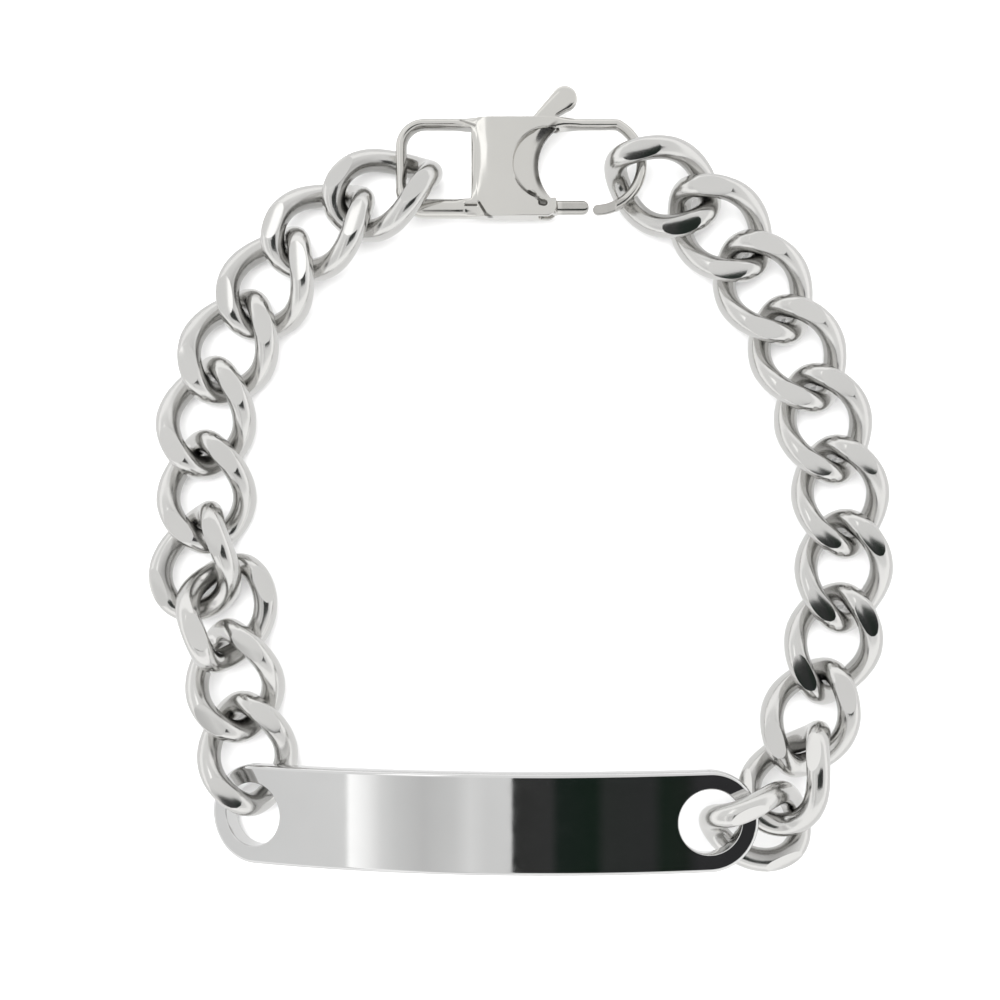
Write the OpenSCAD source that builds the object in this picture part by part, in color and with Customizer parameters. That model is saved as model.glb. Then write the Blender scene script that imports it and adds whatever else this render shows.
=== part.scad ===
/* [Chain links] */
// Outside length of a link
link_len = 12.85; // [12.7:0.05:13]
// Outside width of a link
link_w = 10.15; // [10:0.05:10.3]
// Diameter of the wire that a link is bent from
wire_d = 2.45; // [2.2:0.05:2.5]
// Thickness of the chain after both faces are filed flat
chain_h = 4.8; // [4.6:0.1:5.4]
// Turn of each end of a link about its long axis, in degrees
link_twist = 47; // [45:1:49]

/* [Name plate] */
// Width of the plate across the wrist
plate_w = 10; // [9.6:0.1:10.2]
// Thickness of the plate
plate_t = 1.8; // [1.4:0.1:2]
// Radius of the plate's curved face
plate_r = 85; // [80:1:95]
// Distance between the two holes, measured along the curve
hole_span = 47; // [47:0.1:47.4]
// Diameter of the holes
hole_d = 6.4; // [6.3:0.1:6.6]
// How far the plate leans up to the right where it lies, in degrees
plate_lean = 6; // [5:0.5:7]

/* [Clasp] */
// Thickness of the clasp's body
clasp_t = 3.3; // [3:0.1:3.4]
// Thickness of the eye that the first left link hangs in
eye_t = 2; // [1.8:0.1:2.1]
// Thickness of the hook
hook_t = 1.6; // [1.4:0.1:1.7]
// Width of the bars of the eye and the hook
bar_w = 1.05; // [0.9:0.05:1.2]
// Height of the clasp across its two long bars
clasp_w = 10; // [9.8:0.1:10.2]
// Diameter of the gate's pin
pin_d = 1; // [0.8:0.1:1.2]
// Thickness of the gate between the two cheeks
gate_t = 1.3; // [1.1:0.1:1.4]

/* [Hidden] */
steel = [0.78, 0.78, 0.77];
dark_steel = [0.68, 0.68, 0.67];

// The bounding box of the whole bracelet is centred on the origin by this step
shift_x = -0.29;
shift_y = -0.56;

// Half lengths of the oval that the wire's centre follows
oval_a = (link_len - wire_d) / 2;
oval_b = (link_w - wire_d) / 2;
wire_sides = 6;
link_stations = 16;

// Columns of the tables that place the links. A heading is the way the chain runs
// from the clasp towards the plate, counted from +X. Tilt raises the link's far end,
// roll turns it about its long axis.
X = 0;
Y = 1;
LIFT = 2;
HEADING = 3;
TILT = 4;
ROLL = 5;

// Links that lie out of line: beside the clasp, at the plate and at the kink.
left_link_places = [
    [-13.7, 29.6, 3.36, -160, -2, 21],
    [-20.1, 25.9, 3.2, -146, 1, 14],
    [-25.3, 20.4, 2.8, -122, -4, 10],
    [-29.4, 13.9, 2.4, -117, 0, 0],
    [-31.8, 6.7, 2.4, -101, 0, 0],
    [-31.9, -0.9, 2.4, -88, 0, 0],
    [-32.5, -8.0, 3.1, -106, -8, 20],
    [-29.7, -13.1, 3.5, -104, 21, -22],
    [-28.9, -20.1, 2.96, -83.3, -1.7, 0.4],
    [-27.6, -27.5, 2.9, -82.7, 2.2, -8.1]
];
right_link_places = [
    [14.6, 30.1, 3.2, -26, -4, 16],
    [20.5, 25.9, 2.7, -45, -4, 9],
    [25.0, 19.8, 2.4, -59, 0, 0],
    [28.5, 13.1, 2.4, -66, 0, 0],
    [31.1, 6.0, 2.4, -73, 0, 0],
    [32.8, -1.4, 2.4, -82, 0, 0],
    [33.1, -9.0, 2.4, -93, 0, 0],
    [32.0, -16.4, 2.4, -104, 0, 0],
    [29.6, -23.8, 3.19, -113.2, 5.1, 8.4],
    [27.52, -29.53, 4.71, -121.9, 0, 47.4],
    [24.12, -34.14, 5.72, 164.4, 29, -22.4]
];

function link_centre(t) =
    let (
        along = oval_a * cos(t),
        across = oval_b * sin(t),
        turn = link_twist * along / oval_a
    ) [along, across * cos(turn), -across * sin(turn)];

function unit(v) = v / norm(v);

function flat(p, half) = [p.x, p.y, max(-half, min(half, p.z))];

// One ring of points round the wire, cut off at the two filed faces
function wire_ring(t) =
    let (
        centre = link_centre(t),
        along = unit(link_centre(t + 1) - link_centre(t - 1)),
        side = unit(cross(along, [0, 0, 1])),
        up = cross(along, side)
    ) [for (k = [0:wire_sides - 1])
        let (turn = 360 * k / wire_sides)
            flat(centre + wire_d / 2 * (side * cos(turn) + up * sin(turn)), chain_h / 2)];

function ring_index(i, k) = (i % link_stations) * wire_sides + k % wire_sides;

// A curb link: an oval ring of wire, twisted about its long axis, both faces filed flat
module curb_link() {
    points = [for (i = [0:link_stations - 1]) each wire_ring(360 * i / link_stations)];
    faces = [for (i = [0:link_stations - 1], k = [0:wire_sides - 1])
        each [
            [ring_index(i, k), ring_index(i + 1, k), ring_index(i + 1, k + 1)],
            [ring_index(i, k), ring_index(i + 1, k + 1), ring_index(i, k + 1)]
        ]];
    polyhedron(points = points, faces = faces, convexity = 4);
}

module placed_link(place) {
    color(steel)
    translate([shift_x + place[X], shift_y + place[Y], place[LIFT]])
    rotate([0, 0, place[HEADING]])
    rotate([0, -place[TILT], 0])
    rotate([place[ROLL], 0, 0])
        curb_link();
}

module left_link(number) {
    placed_link(left_link_places[number - 1]);
}

module right_link(number) {
    placed_link(right_link_places[number - 1]);
}

// Plate
plate_x = -4.2;
plate_y = -33.5;
plate_top = 9.35;
plate_yaw = 0.2;
hole_angle = hole_span / 2 / plate_r * 180 / PI;
round_sides = 96;

// A round bar that points out of the plate's face where a hole is
module plate_post(side, radius) {
    translate([0, 0, -plate_r])
    rotate([0, side * hole_angle, 0])
    translate([0, 0, plate_r - 3 * plate_t])
        cylinder(r = radius, h = 6 * plate_t, $fn = round_sides);
}

// The stretch of the plate between its two holes, as a wedge from the centre of the curve
module plate_wedge() {
    reach = 2 * plate_r;
    translate([0, plate_w / 2, -plate_r])
    rotate([90, 0, 0])
    linear_extrude(height = plate_w)
        polygon([
            [0, 0],
            [-reach * sin(hole_angle), reach * cos(hole_angle)],
            [reach * sin(hole_angle), reach * cos(hole_angle)]
        ]);
}

module plate_shell() {
    translate([0, plate_w / 2, -plate_r])
    rotate([90, 0, 0])
    difference() {
        cylinder(r = plate_r, h = plate_w, $fn = 720);
        translate([0, 0, -1])
            cylinder(r = plate_r - plate_t, h = plate_w + 2, $fn = 720);
    }
}

module id_plate() {
    color(steel)
    translate([shift_x + plate_x, shift_y + plate_y, plate_top])
    rotate([0, 0, plate_yaw])
    rotate([0, -plate_lean, 0])
    difference() {
        intersection() {
            plate_shell();
            union() {
                plate_wedge();
                for (side = [-1, 1])
                    plate_post(side, plate_w / 2);
            }
        }
        for (side = [-1, 1])
            plate_post(side, hole_d / 2);
    }
}

// Clasp, drawn flat with its left end at x = 0 and its long bars at y = +-clasp_w / 2
clasp_x = -12.4;
clasp_y = 31.8;
clasp_lift = 3.4;
bar_y = clasp_w / 2;
eye_corner = 2.9;
window_top = bar_y - bar_w;
window_bottom = -3.15;
body_left = 7.7;
body_right = 16.3;
slope = 1.2;
throat_centre = [19.07, 0.25];
throat_r = 4.67;
cheek_cut_centre = [15.5, 0.37];
cheek_cut_r = 3.58;
hook_centre = [20.3, 0.4];
hook_r = 4.6;
hook_from = 64;
hook_to = -88;
pivot = [13.7, -2.95];
hub_r = 1.25;
// The slot that the gate turns in, between the two cheeks
slot_t = gate_t + 0.3;
slot_left = 9.6;
slot_right = 16.5;
slot_floor = -4.5;
slot_floor_end = 14.5;
slot_reach = 19.5;
// The gate's arm closes the gap below the hook's tip
arm_left = 14.8;
arm_tip = 19.55;
arm_top = -3.25;
arm_w = 1.4;
// The lever's pad and the way it leans above the top bar
pad_centre = [17.1, 7.1];
pad_r = 1.27;
lever_left = 13.7;
lever_lean = 45;
gate_back = 11.6;
gate_back_low = -0.6;
gate_back_high = 1.6;

function on_circle(centre, radius, angle) = centre + radius * [cos(angle), sin(angle)];

// An upright block whose two left corners are rounded
module rounded_left(left, right, low, high, radius) {
    translate([left, low + radius])
        square([right - left, high - low - 2 * radius]);
    translate([left + radius, low])
        square([right - left - radius, high - low]);
    for (y = [low + radius, high - radius])
        translate([left + radius, y])
            circle(r = radius, $fn = round_sides);
}

module hook_outline() {
    far = 2 * hook_r;
    intersection() {
        translate(hook_centre)
            difference() {
                circle(r = hook_r + bar_w / 2, $fn = round_sides);
                circle(r = hook_r - bar_w / 2, $fn = round_sides);
            }
        polygon([
            hook_centre,
            on_circle(hook_centre, far, hook_from),
            on_circle(hook_centre, far, hook_from / 3),
            on_circle(hook_centre, far, hook_to / 3),
            on_circle(hook_centre, far, hook_to)
        ]);
    }
    translate(on_circle(hook_centre, hook_r, hook_to))
        circle(d = bar_w, $fn = 48);
}

module clasp_outline() {
    hook_start_x = on_circle(hook_centre, hook_r, hook_from).x;
    difference() {
        rounded_left(0, body_right, -bar_y, bar_y, eye_corner);
        rounded_left(bar_w, body_left, window_bottom, window_top, eye_corner - bar_w);
        translate(cheek_cut_centre)
            circle(r = cheek_cut_r, $fn = round_sides);
    }
    translate([body_right - bar_w, window_top])
        square([hook_start_x - body_right + bar_w, bar_w]);
    hook_outline();
}

// Side view of the clasp: thin at the eye and the hook, thick at the body
module clasp_profile() {
    half_eye = eye_t / 2;
    half_body = clasp_t / 2;
    half_hook = hook_t / 2;
    far_right = 2 * body_right;
    polygon([
        [-1, -half_eye],
        [body_left - slope / 2, -half_eye],
        [body_left + slope / 2, -half_body],
        [body_right + slope / 2, -half_body],
        [hook_centre.x + 2, -half_hook],
        [far_right, -half_hook],
        [far_right, half_hook],
        [hook_centre.x + 2, half_hook],
        [body_right + slope / 2, half_body],
        [body_left + slope / 2, half_body],
        [body_left - slope / 2, half_eye],
        [-1, half_eye]
    ]);
}

// Room for the gate, open to the top, to the throat and below the arm
module gate_slot() {
    linear_extrude(height = slot_t, center = true)
        polygon([
            [slot_left, bar_y + 1],
            [slot_left, slot_floor],
            [slot_floor_end, slot_floor],
            [slot_floor_end, -bar_y - 1],
            [slot_reach, -bar_y - 1],
            [slot_reach, window_top],
            [slot_right, window_top],
            [slot_right, bar_y + 1]
        ]);
}

module at_clasp() {
    translate([shift_x + clasp_x, shift_y + clasp_y, clasp_lift])
        children();
}

module pivot_hole(diameter) {
    translate([pivot.x, pivot.y, -clasp_t])
        cylinder(d = diameter, h = 2 * clasp_t, $fn = 48);
}

module clasp_body() {
    color(steel)
    at_clasp()
    difference() {
        intersection() {
            linear_extrude(height = clasp_t, center = true)
                clasp_outline();
            rotate([90, 0, 0])
            linear_extrude(height = 2 * clasp_w, center = true)
                clasp_profile();
        }
        gate_slot();
        pivot_hole(pin_d + 0.04);
    }
}

// The gate is cut from plate: each of these outlines is a part of it
module gate_plate() {
    linear_extrude(height = gate_t, center = true)
        children();
}

module gate_leaf() {
    difference() {
        gate_plate()
            polygon([
                [pivot.x - hub_r, pivot.y],
                [gate_back, gate_back_low],
                [gate_back, gate_back_high],
                [lever_left, bar_y],
                on_circle(pad_centre, pad_r, lever_lean + 90),
                on_circle(pad_centre, pad_r, lever_lean - 90),
                [body_right, bar_y + 0.3],
                [body_right, arm_top - arm_w / 2],
                [pivot.x, pivot.y - hub_r]
            ]);
        translate([throat_centre.x, throat_centre.y, -gate_t])
            cylinder(r = throat_r, h = 2 * gate_t, $fn = round_sides);
    }
}

module gate_arm() {
    gate_plate()
        translate([arm_left, arm_top - arm_w])
            square([arm_tip - arm_w / 2 - arm_left, arm_w]);
}

module gate_disc(centre, radius) {
    translate([centre.x, centre.y, -gate_t / 2])
        cylinder(r = radius, h = gate_t, $fn = 48);
}

// The gate, its arm and its thumb lever are one piece that turns on the pin
module clasp_gate() {
    color(dark_steel)
    at_clasp()
    difference() {
        union() {
            gate_leaf();
            gate_arm();
            gate_disc(pivot, hub_r);
            gate_disc([arm_tip - arm_w / 2, arm_top - arm_w / 2], arm_w / 2);
            gate_disc(pad_centre, pad_r);
        }
        pivot_hole(pin_d + 0.2);
    }
}

module clasp_pin() {
    color(steel)
    at_clasp()
    translate([pivot.x, pivot.y, -clasp_t / 2])
        cylinder(d = pin_d, h = clasp_t, $fn = 48);
}

id_plate();
left_link(1);  // left_link_01
left_link(2);  // left_link_02
left_link(3);  // left_link_03
left_link(4);  // left_link_04
left_link(5);  // left_link_05
left_link(6);  // left_link_06
left_link(7);  // left_link_07
left_link(8);  // left_link_08
left_link(9);  // left_link_09
left_link(10);  // left_link_10
right_link(1);  // right_link_01
right_link(2);  // right_link_02
right_link(3);  // right_link_03
right_link(4);  // right_link_04
right_link(5);  // right_link_05
right_link(6);  // right_link_06
right_link(7);  // right_link_07
right_link(8);  // right_link_08
right_link(9);  // right_link_09
right_link(10);  // right_link_10
right_link(11);  // right_link_11
clasp_body();
clasp_gate();
clasp_pin();
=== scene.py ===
"""Id bracelet in polished steel: curb links, curved name plate and hook clasp, lying closed on a table."""

import math

import bmesh
import bpy
from mathutils import Matrix, Vector


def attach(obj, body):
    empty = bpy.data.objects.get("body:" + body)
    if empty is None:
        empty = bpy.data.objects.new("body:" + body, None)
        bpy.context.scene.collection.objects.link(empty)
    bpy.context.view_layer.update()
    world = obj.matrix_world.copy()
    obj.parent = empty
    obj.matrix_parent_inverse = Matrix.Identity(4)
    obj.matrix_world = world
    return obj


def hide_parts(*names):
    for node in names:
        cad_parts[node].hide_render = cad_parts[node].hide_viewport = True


MM = 0.001

# Links and plate in millimetres and degrees, the same as in the part's source
OVAL_A = 5.2  # half length of the oval that the wire's centre follows
OVAL_B = 3.85  # half width of the same oval
CHAIN_H = 4.8  # thickness over the two filed faces
LINK_TWIST = 47.0  # turn of each end of a link
PLATE_W = 10.0
PLATE_T = 1.8
PLATE_R = 85.0  # radius of its upper face
HOLE_SPAN = 47.0  # from hole to hole along the curve
HOLE_D = 6.4
PLATE_LEAN = 6.0
PLATE_YAW = 0.2

# Finish of links and plate in millimetres, which the source's plain solids don't have
WIRE_D = 2.37  # round wire, where the source has six-sided wire of 2.45 over its corners
LINK_STEPS = 96  # stations round a link
FILED_EDGE = 0.16  # rounding where a filed face meets the wire
FILED_TOP = 2.27  # height of the upper filed face above the middle of the chain
PLATE_EDGE = 0.42  # rounding of the plate's outer edges
HOLE_EDGE = 0.1  # rounding of the edges of its holes

# The whole bracelet is moved by this much, so that its box is centred on the origin
SHIFT = Vector((-0.29, -0.56, 0))
PLATE_AT = SHIFT + Vector((-4.2, -33.5, 9.35))
CLASP_AT = SHIFT + Vector((-12.4, 31.8, 3.4))

# Where each link lies: x, y, lift, heading, tilt, roll, as in the part's source
LEFT_LINKS = [
    (-13.7, 29.6, 3.36, -160, -2, 21),
    (-20.1, 25.9, 3.2, -146, 1, 14),
    (-25.3, 20.4, 2.8, -122, -4, 10),
    (-29.4, 13.9, 2.4, -117, 0, 0),
    (-31.8, 6.7, 2.4, -101, 0, 0),
    (-31.9, -0.9, 2.4, -88, 0, 0),
    (-32.5, -8.0, 3.1, -106, -8, 20),
    (-29.7, -13.1, 3.5, -104, 21, -22),
    (-28.9, -20.1, 2.96, -83.3, -1.7, 0.4),
    (-27.6, -27.5, 2.9, -82.7, 2.2, -8.1),
]
RIGHT_LINKS = [
    (14.6, 30.1, 3.2, -26, -4, 16),
    (20.5, 25.9, 2.7, -45, -4, 9),
    (25.0, 19.8, 2.4, -59, 0, 0),
    (28.5, 13.1, 2.4, -66, 0, 0),
    (31.1, 6.0, 2.4, -73, 0, 0),
    (32.8, -1.4, 2.4, -82, 0, 0),
    (33.1, -9.0, 2.4, -93, 0, 0),
    (32.0, -16.4, 2.4, -104, 0, 0),
    (29.6, -23.8, 3.19, -113.2, 5.1, 8.4),
    (27.52, -29.53, 4.71, -121.9, 0, 47.4),
    (24.12, -34.14, 5.72, 164.4, 29, -22.4),
]

# Finish of the steel, and the painted shade in its openings and grooves
PAINTED_SHADE_COLOUR = (0.06, 0.057, 0.05, 1)  # near-black that is mixed into the colour as painted shade, in the walls of openings and the floors of grooves
WALL_PAINTED_SHADE = 0.55  # how much painted shade, and extra roughness, the walls of an opening get, from 0 to 1

# Corners of the dark panel round the camera, x and y in metres
CAMERA_DARK = [
    (-0.055, -0.22),
    (0.26, -0.22),
    (0.26, -0.004),
    (0.076, -0.004),
    (0.062, -0.026),
    (0.045, -0.028),
    (-0.010, -0.064),
    (-0.055, -0.070),
]
# What the panels over the front show from left to right: x in metres, red, green, blue
SOFT_BOX_TONES = [
    (-0.267, 0.87, 0.87, 0.87),
    (-0.260, 0.89, 0.89, 0.89),
    (-0.253, 1.45, 1.45, 1.45),
    (-0.225, 1.18, 1.18, 1.18),
    (-0.205, 0.91, 0.91, 0.91),
    (-0.185, 0.79, 0.79, 0.79),
    (-0.150, 0.68, 0.68, 0.68),
    (-0.115, 0.78, 0.78, 0.78),
    (-0.098, 0.92, 0.92, 0.92),
    (-0.080, 0.84, 0.84, 0.84),
    (-0.055, 0.88, 0.88, 0.88),
]
CAMERA_DARK_TONES = [
    (-0.055, 0.036, 0.037, 0.036),
    (-0.018, 0.044, 0.045, 0.045),
    (-0.010, 0.014, 0.022, 0.018),
    (0.025, 0.010, 0.020, 0.014),
    (0.035, 0.032, 0.036, 0.034),
    (0.080, 0.032, 0.034, 0.034),
    (0.092, 0.012, 0.021, 0.015),
    (0.115, 0.014, 0.020, 0.016),
    (0.130, 0.034, 0.034, 0.036),
    (0.260, 0.036, 0.036, 0.038),
]


# Shader maths


class Value:
    """A shader socket that takes part in Python sums. Numbers go straight onto the node."""

    def __init__(self, tree, socket):
        self.tree = tree
        self.socket = socket

    def _math(self, operation, a, b):
        return self.tree.node("ShaderNodeMath", {"operation": operation}, {0: a, 1: b})[0]

    def __add__(self, other):
        return self._math("ADD", self, other)

    def __sub__(self, other):
        return self._math("SUBTRACT", self, other)

    def __rsub__(self, other):
        return self._math("SUBTRACT", other, self)

    def __mul__(self, other):
        return self._math("MULTIPLY", self, other)

    __radd__ = __add__
    __rmul__ = __mul__


class Tree:
    """The node tree of one material."""

    def __init__(self, name):
        self.material = bpy.data.materials.new(name)
        self.material.use_nodes = True
        self.nodes = self.material.node_tree.nodes
        self.links = self.material.node_tree.links
        self.nodes.clear()

    def node(self, kind, settings=None, inputs=None):
        """Adds a node: its settings first, then the values or links of its sockets. Gives its outputs."""
        made = self.nodes.new(kind)
        for key, value in (settings or {}).items():
            if key == "stops":
                ramp = made.color_ramp
                for stop, (place, colour) in zip(ramp.elements, (value[0], value[-1])):
                    stop.position = place
                    stop.color = colour
                for place, colour in value[1:-1]:
                    ramp.elements.new(place).color = colour
            else:
                setattr(made, key, value)
        for key, value in (inputs or {}).items():
            if isinstance(value, Value):
                self.links.new(value.socket, made.inputs[key])
            else:
                made.inputs[key].default_value = value
        return [Value(self, out) for out in made.outputs]

    def noise(self, scale, detail, coords, roughness=0.5):
        """Cloudy noise from 0 to 1, mostly near 0.5."""
        sockets = {"Vector": coords, "Scale": scale, "Detail": detail, "Roughness": roughness}
        return self.node("ShaderNodeTexNoise", {}, sockets)[0]

    def spread(self, value, low, high, to_low, to_high):
        """Maps low..high of a value onto to_low..to_high, held at both ends."""
        sockets = {"Value": value, "From Min": low, "From Max": high, "To Min": to_low, "To Max": to_high}
        return self.node("ShaderNodeMapRange", {"clamp": True}, sockets)[0]

    def mix(self, factor, a, b):
        """Goes from colour a to colour b."""
        return self.node("ShaderNodeMix", {"data_type": "RGBA"}, {0: factor, 6: a, 7: b})[2]

    def finish(self, shader):
        """Makes a shader the surface of the material."""
        out = self.nodes.new("ShaderNodeOutputMaterial")
        self.links.new(shader.socket, out.inputs["Surface"])
        return self.material


def steel(name, tone, dull, bright, smear, grain, filed=None):
    """Polished steel. Its tone drifts a little, handling varies its roughness from bright to dull, and fine
    scratches add up to smear. Grain is the strength of their relief. Where faces are marked as filed, the
    roughness is the filed one. Where they are marked as inner, painted shade darkens the colour towards a
    near-black and the steel is rougher as well."""
    tree = Tree(name)
    coords = tree.node("ShaderNodeTexCoord")[3]
    drift = tree.noise(90.0, 3.0, coords)
    film = tree.noise(420.0, 4.0, coords, 0.6)
    long_grain = tree.node("ShaderNodeMapping", {}, {"Vector": coords, "Scale": (1.0, 9.0, 9.0)})[0]
    scratches = tree.noise(1500.0, 2.0, long_grain, 0.7)
    inner = tree.node("ShaderNodeAttribute", {"attribute_name": "inner"})[2]
    shade_and_dull = inner * tree.spread(film, 0.3, 0.7, 0.7, 1.0)
    deeper = [part * 0.95 for part in tone[:3]] + [1.0]
    colour = tree.mix(tree.spread(drift, 0.35, 0.65, 0.0, 1.0), tone, deeper)
    # Painted shade: the colour goes towards a near-black where the inner mark is set
    colour = tree.mix(shade_and_dull, colour, PAINTED_SHADE_COLOUR)
    roughness = tree.spread(film, 0.3, 0.7, bright, dull) + tree.spread(scratches, 0.5, 0.8, 0.0, smear)
    roughness = roughness + shade_and_dull * 0.12
    height = scratches * 0.4 + film
    if filed is not None:
        mark = tree.node("ShaderNodeAttribute", {"attribute_name": "filed"})[2]
        roughness = roughness * (1 - mark) + mark * filed
        height = height * (1 - mark * 0.9)
    bump = tree.node("ShaderNodeBump", {}, {"Strength": grain, "Distance": 0.00002, "Height": height})[0]
    shader = tree.node(
        "ShaderNodeBsdfPrincipled",
        {},
        {"Base Color": colour, "Metallic": 1.0, "Roughness": roughness, "Normal": bump},
    )[0]
    return tree.finish(shader)


# Making and placing pieces


def hand_over(piece, body, material, node):
    """Gives a finished piece its steel and tells the frame what it rides on and which node it replaces."""
    piece.data.materials.append(material)
    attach(piece, body)
    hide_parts(node)


def object_from(bm, name):
    """A bmesh becomes an object of the scene."""
    mesh = bpy.data.meshes.new(name)
    bm.to_mesh(mesh)
    bm.free()
    made = bpy.data.objects.new(name, mesh)
    bpy.context.scene.collection.objects.link(made)
    return made


def piece_from(bm, name, sharp, unit=MM):
    """A bmesh becomes a piece in metres, smooth except at edges above the sharp angle."""
    bmesh.ops.scale(bm, vec=(unit, unit, unit), verts=bm.verts)
    piece = object_from(bm, name)
    piece.data.shade_smooth()
    piece.data.set_sharp_from_angle(angle=math.radians(sharp))
    return piece


def finished_mesh(raw):
    """What a curve or a piece with a modifier comes to, in a bmesh. The raw object is removed."""
    bpy.context.view_layer.update()
    graph = bpy.context.evaluated_depsgraph_get()
    mesh = bpy.data.meshes.new_from_object(raw.evaluated_get(graph))
    bm = bmesh.new()
    bm.from_mesh(mesh)
    bpy.data.objects.remove(raw)
    bpy.data.meshes.remove(mesh)
    return bm


def curve_mesh(curve):
    """The mesh of a curve, in a bmesh, with the curve itself removed."""
    raw = bpy.data.objects.new(curve.name, curve)
    bpy.context.scene.collection.objects.link(raw)
    bm = finished_mesh(raw)
    bpy.data.curves.remove(curve)
    return bm


def link_point(turn):
    """The wire's centre on a twisted oval."""
    along = OVAL_A * math.cos(turn)
    across = OVAL_B * math.sin(turn)
    twist = math.radians(LINK_TWIST) * along / OVAL_A
    return Vector((along, across * math.cos(twist), -across * math.sin(twist)))


def smooth_step(value, low, high):
    """0 up to low, 1 from high on and a soft rise between them."""
    t = min(1.0, max(0.0, (value - low) / (high - low)))
    return t * t * (3 - 2 * t)


def mark_painted_shade(bm, centre_of, low, high, dark=None, share=None):
    """Marks the walls that face the middle of an opening with painted shade, which the steel also makes
    rougher. The dark function adds more painted shade and the share function keeps less of it.
    """
    bm.normal_update()
    mark = bm.verts.layers.float.new("inner")
    for vert in bm.verts:
        inward = centre_of(vert.co) - vert.co
        inward.z = 0
        facing = WALL_PAINTED_SHADE * smooth_step(vert.normal.dot(inward.normalized()), low, high)
        if share:
            facing *= share(vert.co)
        vert[mark] = max(facing, dark(vert.co) if dark else 0.0)


def round_edges(bm, edges, size, segments, clamped=False):
    """Bevels edges round. A clamped bevel stays narrow where there is little room."""
    bmesh.ops.bevel(
        bm,
        geom=edges,
        offset=size,
        affect="EDGES",
        segments=segments,
        profile=0.5,
        material=-1,
        clamp_overlap=clamped,
    )


def file_flat(bm, height):
    """Files one face of a link flat and rounds the new edge slightly."""
    cut = bmesh.ops.bisect_plane(
        bm,
        geom=bm.verts[:] + bm.edges[:] + bm.faces[:],
        dist=1e-5,
        plane_co=(0, 0, height),
        plane_no=(0, 0, math.copysign(1, height)),
        clear_outer=True,
    )
    rim = [e for e in cut["geom_cut"] if isinstance(e, bmesh.types.BMEdge)]
    mark = bm.faces.layers.float.get("filed") or bm.faces.layers.float.new("filed")
    for face in bmesh.ops.holes_fill(bm, edges=rim, sides=0)["faces"]:
        face[mark] = 1.0
    round_edges(bm, rim, FILED_EDGE, 3, clamped=True)


def curb_link(name, place):
    """One link: round wire bent into a twisted oval, filed flat on both faces."""
    x, y, lift, heading, tilt, roll = place
    curve = bpy.data.curves.new(name, "CURVE")
    curve.dimensions = "3D"
    curve.bevel_depth = WIRE_D / 2
    curve.bevel_resolution = 8
    spline = curve.splines.new("POLY")
    spline.points.add(LINK_STEPS - 1)
    spline.use_cyclic_u = True
    for i, point in enumerate(spline.points):
        point.co = (*link_point(math.tau * i / LINK_STEPS), 1)
    bm = curve_mesh(curve)
    file_flat(bm, FILED_TOP)
    file_flat(bm, -CHAIN_H / 2)
    bmesh.ops.recalc_face_normals(bm, faces=bm.faces)
    # Painted shade on the walls that face into the link's opening
    mark_painted_shade(bm, lambda co: Vector((0, 0, 0)), 0.25, 1.0)
    laid = (
        Matrix.Translation(Vector((x, y, lift)) + SHIFT)
        @ Matrix.Rotation(math.radians(heading), 4, "Z")
        @ Matrix.Rotation(math.radians(-tilt), 4, "Y")
        @ Matrix.Rotation(math.radians(roll), 4, "X")
    )
    bmesh.ops.transform(bm, matrix=laid, verts=bm.verts)
    return piece_from(bm, name, 25)


# Name plate


def part_at(bm, x):
    """Parts every face of a flat piece along one upright plane."""
    geom = bm.verts[:] + bm.edges[:] + bm.faces[:]
    bmesh.ops.bisect_plane(bm, geom=geom, dist=1e-5, plane_co=(x, 0, 0), plane_no=(1, 0, 0))


def is_broad(face):
    """Whether a face of the flat plate belongs to its upper or its lower side."""
    return abs(face.normal.z) > 0.999


def in_one_piece(bm, places):
    """Clears the broad faces of all edges but those that run straight across them at the given places."""
    spare = [
        e
        for e in bm.edges
        if len(e.link_faces) == 2
        and all(is_broad(f) for f in e.link_faces)
        and not any(all(abs(v.co.x - x) < 1e-4 for v in e.verts) for x in places)
    ]
    bmesh.ops.dissolve_edges(bm, edges=spare, use_verts=False, use_face_split=False)
    lone = [v for v in bm.verts if len(v.link_edges) == 2]
    bmesh.ops.dissolve_verts(bm, verts=lone)


def on_hole_rim(co, holes):
    """Whether a place on the flat plate lies on the rim of one of its holes."""
    return min(math.hypot(co.x - x, co.y) for x in holes) < HOLE_D / 2 + 0.01


def round_rims(bm, holes):
    """Rounds the outer rims of the plate generously and the rims of its holes slightly."""
    for size, segments, at_hole in ((PLATE_EDGE, 8, False), (HOLE_EDGE, 3, True)):
        rims = [
            e
            for e in bm.edges
            if min(abs(v.co.z) for v in e.verts) > PLATE_T / 2 - 1e-3
            and any(abs(f.normal.z) < 0.5 for f in e.link_faces)
            and at_hole == all(on_hole_rim(v.co, holes) for v in e.verts)
        ]
        round_edges(bm, rims, size, segments)
        bm.normal_update()


def plate_outline(curve, steps=48):
    """A straight-sided bar with half-round ends."""
    spline = curve.splines.new("POLY")
    spline.points.add(2 * steps + 1)
    spline.use_cyclic_u = True
    for i, point in enumerate(spline.points):
        end = 1 if i <= steps else -1
        turn = math.pi * (i if end > 0 else i - steps - 1) / steps - end * math.pi / 2
        point.co = (end * HOLE_SPAN / 2 + PLATE_W / 2 * math.cos(turn), PLATE_W / 2 * math.sin(turn), 0, 1)


def ring_spline(curve, x, radius, steps=96):
    """A round hole in the outline."""
    spline = curve.splines.new("POLY")
    spline.points.add(steps - 1)
    spline.use_cyclic_u = True
    for i, point in enumerate(spline.points):
        turn = math.tau * i / steps
        point.co = (x + radius * math.cos(turn), radius * math.sin(turn), 0, 1)


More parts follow.
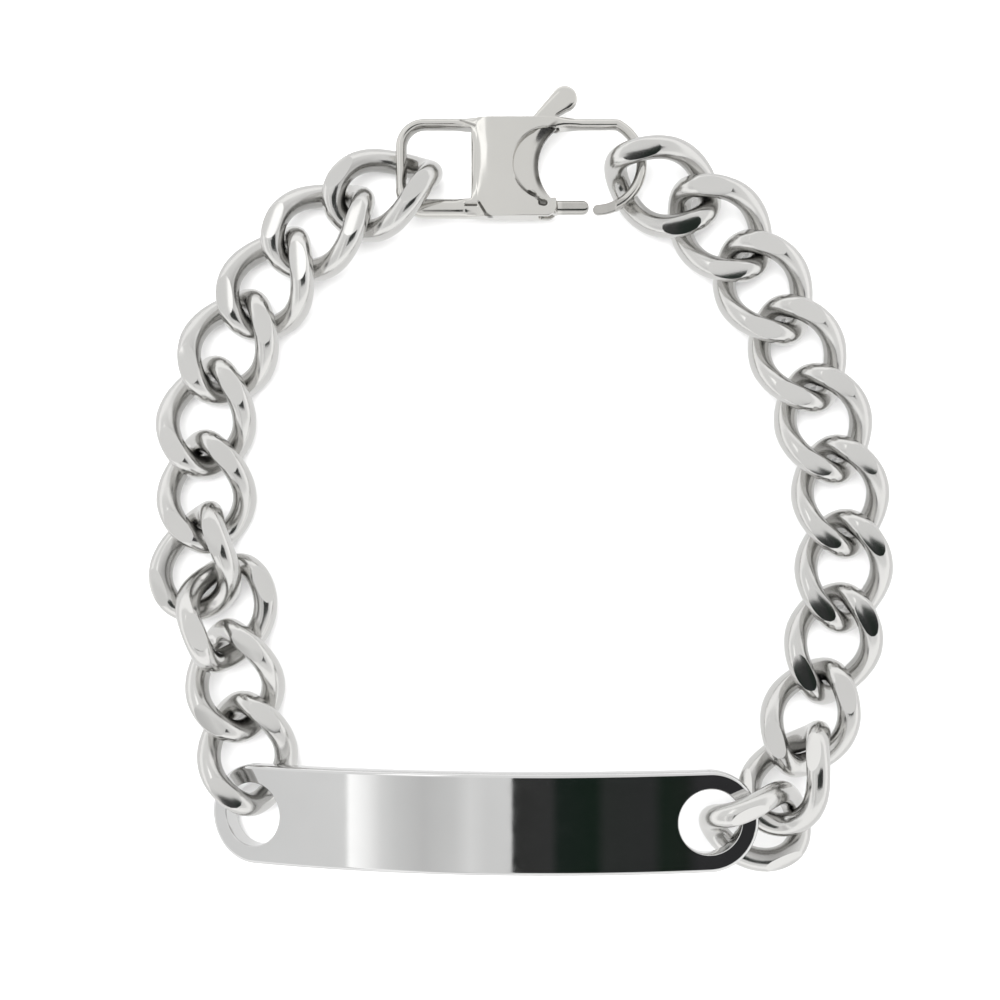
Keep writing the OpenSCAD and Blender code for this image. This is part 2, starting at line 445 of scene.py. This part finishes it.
def name_plate():
    """The plate is cut flat with rounded edges, then bent to its curve and laid in its place."""
    curve = bpy.data.curves.new("name_plate", "CURVE")
    curve.dimensions = "2D"
    curve.fill_mode = "BOTH"
    curve.extrude = PLATE_T / 2
    plate_outline(curve)
    holes = (-HOLE_SPAN / 2, HOLE_SPAN / 2)
    for x in holes:
        ring_spline(curve, x, HOLE_D / 2)
    bm = curve_mesh(curve)
    bmesh.ops.remove_doubles(bm, verts=bm.verts, dist=1e-4)
    for x in holes:
        part_at(bm, x)
    bmesh.ops.recalc_face_normals(bm, faces=bm.faces)
    bm.normal_update()
    in_one_piece(bm, holes)
    round_rims(bm, holes)
    reach = HOLE_SPAN / 2 + PLATE_W / 2
    slices = 200
    for i in range(1, slices):
        part_at(bm, reach * (2 * i / slices - 1))
    bm.verts.index_update()
    bmesh.ops.recalc_face_normals(bm, faces=bm.faces)
    bm.normal_update()
    side_of = {v.index: math.copysign(1, f.normal.z) for f in bm.faces if is_broad(f) for v in f.verts}
    for vert in bm.verts:
        out = PLATE_R - PLATE_T / 2 + vert.co.z
        angle = vert.co.x / PLATE_R
        vert.co = (out * math.sin(angle), vert.co.y, out * math.cos(angle) - PLATE_R)
    laid = (
        Matrix.Translation(PLATE_AT)
        @ Matrix.Rotation(math.radians(PLATE_YAW), 4, "Z")
        @ Matrix.Rotation(math.radians(-PLATE_LEAN), 4, "Y")
    )
    bmesh.ops.transform(bm, matrix=laid, verts=bm.verts)
    piece = piece_from(bm, "name_plate", 40)
    shine_as_curve(piece.data, laid, side_of)
    return piece


def shine_as_curve(mesh, laid, side_of):
    """The two broad faces, cut into narrow strips, shine as the one smooth curve that they stand for."""
    back = laid.inverted()
    turned = laid.to_3x3()
    normals = [corner.vector.copy() for corner in mesh.corner_normals]
    for loop in mesh.loops:
        side = side_of.get(loop.vertex_index)
        if side:
            local = back @ (mesh.vertices[loop.vertex_index].co / MM)
            outward = Vector((local.x, 0, local.z + PLATE_R)).normalized()
            normals[loop.index] = turned @ outward * side
    mesh.normals_split_custom_set(normals)


# Clasp, in its own millimetres: its eye's end at x = 0, the outer faces of its long bars at y = +-5

EYE_MIDDLE = Vector((4.4, 0.4, 0))
EYE_CORNER = 2.9  # outer radius of the eye's corners
THROAT = Vector((19.07, 0.25, 0))
THROAT_R = 4.67
CHEEK_CUT = Vector((15.5, 0.37, 0))  # middle of the round cut in the cheeks
CHEEK_CUT_R = 3.58
HOOK = Vector((20.3, 0.4, 0))
HOOK_R = 4.6  # radius of the hook's bar at its middle
HOOK_START = 22.3  # where the top bar turns into the hook
PIVOT = Vector((13.7, -2.95, 0))
PIN_R = 0.5
PIN_LENGTH = 1.8
BORE_PLUG_R = 0.56
BAR = 1.05  # width of the bars
BAR_OUT = 5.0  # how far out the long bars reach
EYE_OPENING = (BAR, 7.7, -3.15, 3.95, 1.85)  # left, right, low, high, radius of the corners
BODY_END = 16.3  # where the bottom wall ends
SLOT = 0.82  # half width of the slot between the cheeks
CHEEK = 1.65  # half thickness over the cheeks
LEVER = (14.0, 4.0, 17.1, 7.1)  # the lever's middle line, from x, y to x, y of its pad
LEVER_HALF = 1.3
ARM_Y = -3.95  # middle of the gate's arm
ARM_HALF = 0.7
# Half thickness along the clasp, as made in the part's source: place, half thickness
THICKNESS = [(7.1, 1.0), (8.3, CHEEK), (16.9, CHEEK), (HOOK_START, 0.8)]
# Grooves: from x, y to x, y, half width, depth
GROOVES = [
    (8.5, -3.6, 9.2, -4.75, 0.1, 0.4),
    (9.2, -4.75, 9.75, -5.1, 0.16, 0.5),
    (7.1, -3.85, 8.2, -3.85, 0.1, 0.35),
    (6.6, 4.7, 8.1, 4.1, 0.12, 0.12),
    (14.3, -3.15, 15.0, -3.7, 0.13, 0.4),
    (14.8, -3.65, 15.1, -3.7, 0.3, 0.4),
]


def in_clasp(co):
    """A place in metres, in the clasp's own millimetres."""
    return co / MM - CLASP_AT


def from_throat(x, y):
    """How far a place lies outside the round throat."""
    return (Vector((x, y, 0)) - THROAT).length - THROAT_R


def from_cheek_cut(x, y):
    """A place seen from the middle of the cheeks' round cut, and how far it lies outside the cut."""
    cut = Vector((x, y, 0)) - CHEEK_CUT
    return cut, cut.length - CHEEK_CUT_R


def piecewise(value, places, levels):
    """Straight lines between the given levels."""
    if value <= places[0]:
        return levels[0]
    for i in range(1, len(places)):
        if value <= places[i]:
            share = (value - places[i - 1]) / (places[i] - places[i - 1])
            return levels[i - 1] + (levels[i] - levels[i - 1]) * share
    return levels[-1]


def inside_round_box(x, y, left, right, low, high, radius):
    """How far a point lies inside an upright box with rounded corners."""
    across = abs(x - (left + right) / 2) - (right - left) / 2 + radius
    upward = abs(y - (low + high) / 2) - (high - low) / 2 + radius
    return radius - math.hypot(max(across, 0), max(upward, 0)) - min(max(across, upward), 0)


def from_segment(x, y, x0, y0, x1, y1):
    """How far a point lies from a straight stretch."""
    share = ((x - x0) * (x1 - x0) + (y - y0) * (y1 - y0)) / ((x1 - x0) ** 2 + (y1 - y0) ** 2)
    share = min(1.0, max(0.0, share))
    return math.hypot(x - x0 - share * (x1 - x0), y - y0 - share * (y1 - y0))


def groove(x, y):
    """Depth of the seams and creases at a point, and how much painted shade darkens their floor."""
    depth = dark = 0.0
    for x0, y0, x1, y1, half, deep in GROOVES:
        near = 1 - smooth_step(from_segment(x, y, x0, y0, x1, y1), 0.3 * half, 1.4 * half)
        depth = max(depth, deep * near)
        # dark is painted shade on the groove's floor
        dark = max(dark, near * min(1.0, 0.5 + deep))
    # The crease along the lower left edge of the cheeks' cut
    cut, beside = from_cheek_cut(x, y)
    turn = math.degrees(math.atan2(-cut.y, -cut.x))
    if 0 < turn < 75:
        near = (1 - smooth_step(abs(beside), 0.05, 0.25)) * smooth_step(turn, 5.0, 55.0)
        depth, dark = max(depth, 0.45 * near), max(dark, near)
    return depth, dark


def upper_cut(cut):
    """How far a place beside the cheeks' cut belongs to its soft upper edge."""
    return smooth_step(cut.y - 0.35 * cut.x, -1.2, 1.6)


def bar_edges(x, y):
    """How far a place lies inside the outer and the inner edge of the bar that it is on."""
    if x < 12:
        outer = inside_round_box(x, y, 0, 30, -BAR_OUT, BAR_OUT, EYE_CORNER)
        return outer, -inside_round_box(x, y, *EYE_OPENING)
    if x > HOOK_START:
        outward = (Vector((x, y, 0)) - HOOK).length - HOOK_R
    else:
        outward = y - (BAR_OUT - BAR / 2)
    return BAR / 2 - outward, BAR / 2 + outward


def body_half(x, y):
    """Half thickness of the body as it looks: oval bars, a swell with an S-shaped foot, soft edges."""
    outer, inner = bar_edges(x, y)
    off = max(-1.0, min(1.0, (outer - inner) / max(0.3, outer + inner)))
    oval = math.sqrt(1 - 0.8 * off * off)
    # The body swells from the eye up to the cheeks and thins towards the hook
    foot = 10.0 + 3.2 * smooth_step(-y, -3.5, 4.5)
    half = 1.0 + 0.65 * smooth_step(x, 6.4, foot) - 0.85 * smooth_step(x, 15.2, 19.0)
    body = smooth_step(x, 6.6, 9.0) * (1 - smooth_step(x, 15.6, 18.6))
    dome = 1 - 0.13 * smooth_step(abs(y), 0.0, 5.2)
    half *= body * dome + (1 - body) * oval
    cut, beside = from_cheek_cut(x, y)
    if 7.5 < x < 17 and beside > -0.4:
        sunk = upper_cut(cut) * smooth_step(-cut.x, 0.4, 3.0) * (1 - smooth_step(cut.y, 0.3, 4.3))
        half -= 0.22 * sunk * (1 - smooth_step(beside, -0.4, 2.8))
    return half


def soft_corner(x, y, radius=1.1):
    """The bottom wall's end is rounded off towards the gate's arm."""
    from_middle = Vector((x - BODY_END + radius, y + BAR_OUT - radius, 0))
    if x < BODY_END + 0.5 and from_middle.x > 0 > from_middle.y and from_middle.length > radius:
        from_middle *= radius / from_middle.length
    return from_middle.x + BODY_END - radius, from_middle.y - BAR_OUT + radius


def shape_body(bm):
    """Rounds the end of the bottom wall, and thins or swells all walls to their finished thickness."""
    places, made = zip(*THICKNESS)
    for vert in bm.verts:
        x, y, z = in_clasp(vert.co)
        x, y = soft_corner(x, y)
        vert.co.x, vert.co.y = (x + CLASP_AT.x) * MM, (y + CLASP_AT.y) * MM
        slot = SLOT * smooth_step(x, 8.3, 9.3) * (1 - smooth_step(x, 16.4, 18.4))
        thinnest = slot + 0.1
        wanted = max(body_half(x, y), thinnest)
        if z > 0:
            wanted = max(wanted - groove(x, y)[0], thinnest)
        if abs(z) > slot:
            beyond = (abs(z) - slot) * (wanted - slot) / (piecewise(x, places, made) - slot)
            vert.co.z = (math.copysign(slot + beyond, z) + CLASP_AT.z) * MM


def shape_gate(bm):
    """The lever and the arm are rounded across, the leaf is rounded towards the throat."""
    for vert in bm.verts:
        x, y, z = in_clasp(vert.co)
        if y > BAR_OUT:
            off = from_segment(x, y, *LEVER) / LEVER_HALF
            scale = math.sqrt(max(0.25, 1 - 0.75 * off * off))
        elif x > BODY_END:
            scale = math.sqrt(max(0.2, 1 - 0.8 * ((y - ARM_Y) / ARM_HALF) ** 2))
        else:
            rounded = 0.6 * (1 - smooth_step(from_throat(x, y), 0.0, 1.3))
            scale = 1.12 - rounded - 0.12 * smooth_step(-y, -1.0, 2.0)
        vert.co.z = (z * scale + CLASP_AT.z) * MM


def clasp_opening(co):
    """The middle of the opening that is nearest to a place on the clasp: the eye or the throat."""
    middle = EYE_MIDDLE if in_clasp(co).x < 8.6 else THROAT
    return (middle + CLASP_AT) * MM


def clasp_painted_shade(co):
    """How much painted shade darkens the floors of the grooves and the rim of the throat, and how far the
    gate's arm is darkened.
    """
    x, y, z = in_clasp(co)
    rim = 0.95 * (1 - smooth_step(from_throat(x, y), 0.25, 0.6))
    rim *= smooth_step(16.6 - x, 0.0, 0.8) * smooth_step(y, -3.2, -1.0)
    arm = 0.3 * smooth_step(x, 16.6, 17.0) * smooth_step(-y, 3.0, 3.3)
    return max(rim, arm, groove(x, y)[1] if z > 0 else 0.0)


def clasp_shade_share(co):
    """How much of the painted shade on the walls stays: the cheek's soft upper edge gets none."""
    place = in_clasp(co)
    cut, beside = from_cheek_cut(place.x, place.y)
    return 1 - upper_cut(cut) * smooth_step(0.6 - abs(beside), 0.0, 0.3)


def fill_bores(bm):
    """Closes the pin's bores in both cheeks, because the polished faces don't show where they are."""
    for side in (-1, 1):
        middle = CLASP_AT + PIVOT + Vector((0, 0, side * (SLOT + CHEEK) / 2))
        bmesh.ops.create_cone(
            bm,
            cap_ends=True,
            segments=32,
            radius1=BORE_PLUG_R * MM,
            radius2=BORE_PLUG_R * MM,
            depth=(CHEEK - SLOT) * MM,
            matrix=Matrix.Translation(middle * MM),
        )


def cast(node, name, grid, passes, shape, bored=False):
    """A CAD piece of the clasp, evenly remeshed, polished until its edges are round and then shaped."""
    bm = bmesh.new()
    bm.from_mesh(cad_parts[node].data)
    bmesh.ops.remove_doubles(bm, verts=bm.verts, dist=1e-7)
    if bored:
        fill_bores(bm)
    rough = piece_from(bm, name + "_rough", 180, 1)
    remesh = rough.modifiers.new("even", "REMESH")
    remesh.mode = "VOXEL"
    remesh.voxel_size = grid * MM
    bm = finished_mesh(rough)
    for _ in range(passes):
        bmesh.ops.smooth_vert(
            bm, verts=bm.verts, factor=0.5, use_axis_x=True, use_axis_y=True, use_axis_z=True
        )
    shape(bm)
    # Painted shade on the walls round the eye and the throat, in the grooves and on the rim of the throat,
    # and a darkened arm
    mark_painted_shade(bm, clasp_opening, 0.35, 0.9, clasp_painted_shade, clasp_shade_share)
    return piece_from(bm, name, 180, 1)


def clasp_pin():
    """The pin. Its ends lie inside the cheeks, which are polished over them."""
    bm = bmesh.new()
    bmesh.ops.create_cone(bm, cap_ends=True, segments=48, radius1=PIN_R, radius2=PIN_R, depth=PIN_LENGTH)
    rims = [e for e in bm.edges if e.verts[0].co.z == e.verts[1].co.z]
    round_edges(bm, rims, 0.1, 3)
    bmesh.ops.translate(bm, verts=bm.verts, vec=CLASP_AT + PIVOT)
    return piece_from(bm, "clasp_pivot", 40)


# Stage, light and camera


def reflected_only(made):
    """Scenery that shows in the polished steel alone. The camera doesn't see it and it casts no shadow."""
    made.visible_camera = False
    made.visible_diffuse = False
    made.visible_shadow = False


def panel(name, height, corners, tones):
    """A level panel that shines, or stays dark, in the polished steel, and isn't seen by the camera.
    Its tones are listed from left to right: place in metres, red, green, blue."""
    bm = bmesh.new()
    bm.faces.new([bm.verts.new((x, y, height)) for x, y in corners])
    made = object_from(bm, name)
    tree = Tree(name)
    left, right = tones[0][0], tones[-1][0]
    peak = max(max(tone[1:]) for tone in tones)
    across = tree.node("ShaderNodeSeparateXYZ", {}, {0: tree.node("ShaderNodeTexCoord")[3]})[0]
    place = tree.spread(across, left, right, 0.0, 1.0)
    stops = [((x - left) / (right - left), (r / peak, g / peak, b / peak, 1)) for x, r, g, b in tones]
    colour = tree.node("ShaderNodeValToRGB", {"stops": stops}, {0: place})[0]
    shader = tree.node("ShaderNodeEmission", {}, {"Color": colour, "Strength": peak})[0]
    made.data.materials.append(tree.finish(shader))
    reflected_only(made)


def box_corners(left, right, near, far):
    """Corners of a straight panel."""
    return [(left, near), (right, near), (right, far), (left, far)]


def one_tone(left, right, grey):
    """Tones of a panel that is the same all over."""
    return [(left, grey, grey, grey), (right, grey, grey, grey)]


def table_top(name, drop, grey):
    """A level, nearly matt sheet, a given drop below the bracelet."""
    bm = bmesh.new()
    bmesh.ops.create_grid(bm, x_segments=1, y_segments=1, size=0.6)
    bmesh.ops.translate(bm, verts=bm.verts, vec=(0, 0, -drop))
    top = object_from(bm, name)
    tree = Tree(name)
    finish = {"Base Color": (grey, grey, grey, 1), "Roughness": 0.6, "Specular IOR Level": 0.2}
    top.data.materials.append(tree.finish(tree.node("ShaderNodeBsdfPrincipled", {}, finish)[0]))
    return top


def table():
    """The pale table top under the bracelet. What the steel reflects of it is a greyer one just below."""
    top = table_top("table", 0.0, 0.93)
    top.visible_glossy = False
    reflected_only(table_top("table_reflected", 0.0002, 0.85))


def studio():
    """A bright room, a soft box on the left, a pale ceiling behind and the dark round the camera."""
    bpy.context.scene.view_settings.view_transform = "Standard"
    world = bpy.data.worlds.new("studio")
    world.use_nodes = True
    background = world.node_tree.nodes["Background"]
    background.inputs["Color"].default_value = (1, 1, 1, 1)
    background.inputs["Strength"].default_value = 1.25
    bpy.context.scene.world = world
    # In metres. The panels lie 1 mm apart, and where two overlap, the lower one shows
    panel("soft_box", 0.3, box_corners(-0.75, -0.055, -0.5, -0.06), SOFT_BOX_TONES)
    panel("ceiling", 0.301, box_corners(-0.75, 0.6, -0.5, 0.6), one_tone(-0.75, 0.6, 0.95))
    panel("window", 0.299, box_corners(-0.22, -0.14, 0.06, 0.3), one_tone(-0.22, -0.14, 1.6))
    panel("camera_dark", 0.299, CAMERA_DARK, CAMERA_DARK_TONES)
    lamp = bpy.data.lights.new("soft_top", "AREA")
    lamp.shape = "DISK"
    lamp.size = 0.6
    lamp.energy = 5.0
    hung = bpy.data.objects.new("soft_top", lamp)
    hung.location = (-0.05, 0.15, 0.6)
    hung.rotation_euler = (-hung.location).to_track_quat("-Z", "Y").to_euler()
    hung.visible_glossy = False
    bpy.context.scene.collection.objects.link(hung)


def camera():
    """Straight above the table, as for the photograph. The view is shifted a little towards the left."""
    view_height = 155.0  # above the middle of the chain
    frame_width = 102.04  # seen at the middle of the chain
    lens = bpy.data.cameras.new("camera")
    lens.sensor_width = 36
    lens.lens = lens.sensor_width * view_height / frame_width
    lens.shift_x = -0.12
    lens.shift_y = 0.02
    lens.clip_start = 0.01
    made = bpy.data.objects.new("camera", lens)
    made.location = (Vector((10.3, -3.8, view_height + CHAIN_H / 2)) + SHIFT) * MM
    bpy.context.scene.collection.objects.link(made)
    bpy.context.scene.camera = made


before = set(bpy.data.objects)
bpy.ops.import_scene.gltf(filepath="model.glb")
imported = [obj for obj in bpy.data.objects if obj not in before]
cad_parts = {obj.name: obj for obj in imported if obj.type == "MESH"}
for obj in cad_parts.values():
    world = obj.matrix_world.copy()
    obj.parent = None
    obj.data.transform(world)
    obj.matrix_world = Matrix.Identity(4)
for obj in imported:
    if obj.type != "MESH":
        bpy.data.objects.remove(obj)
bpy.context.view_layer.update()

link_steel = steel("link_steel", (0.66, 0.655, 0.64, 1), 0.2, 0.12, 0.05, 0.25, 0.1)
plate_steel = steel("plate_steel", (0.7, 0.7, 0.695, 1), 0.06, 0.03, 0.02, 0.05)
clasp_steel = steel("clasp_steel", (0.645, 0.635, 0.607, 1), 0.16, 0.1, 0.04, 0.15)

for side, places in (("left", LEFT_LINKS), ("right", RIGHT_LINKS)):
    for number, place in enumerate(places, 1):
        link = curb_link(f"{side}_curb_{number:02d}", place)
        hand_over(link, "bracelet", link_steel, f"{side}_link_{number:02d}")

hand_over(name_plate(), "bracelet", plate_steel, "id_plate")
body = cast("clasp_body", "clasp_frame", 0.08, 9, shape_body, bored=True)
gate = cast("clasp_gate", "clasp_lever", 0.07, 7, shape_gate)
hand_over(body, "bracelet", clasp_steel, "clasp_body")
hand_over(gate, "gate", clasp_steel, "clasp_gate")
hand_over(clasp_pin(), "bracelet", clasp_steel, "clasp_pin")

table()
studio()
camera()
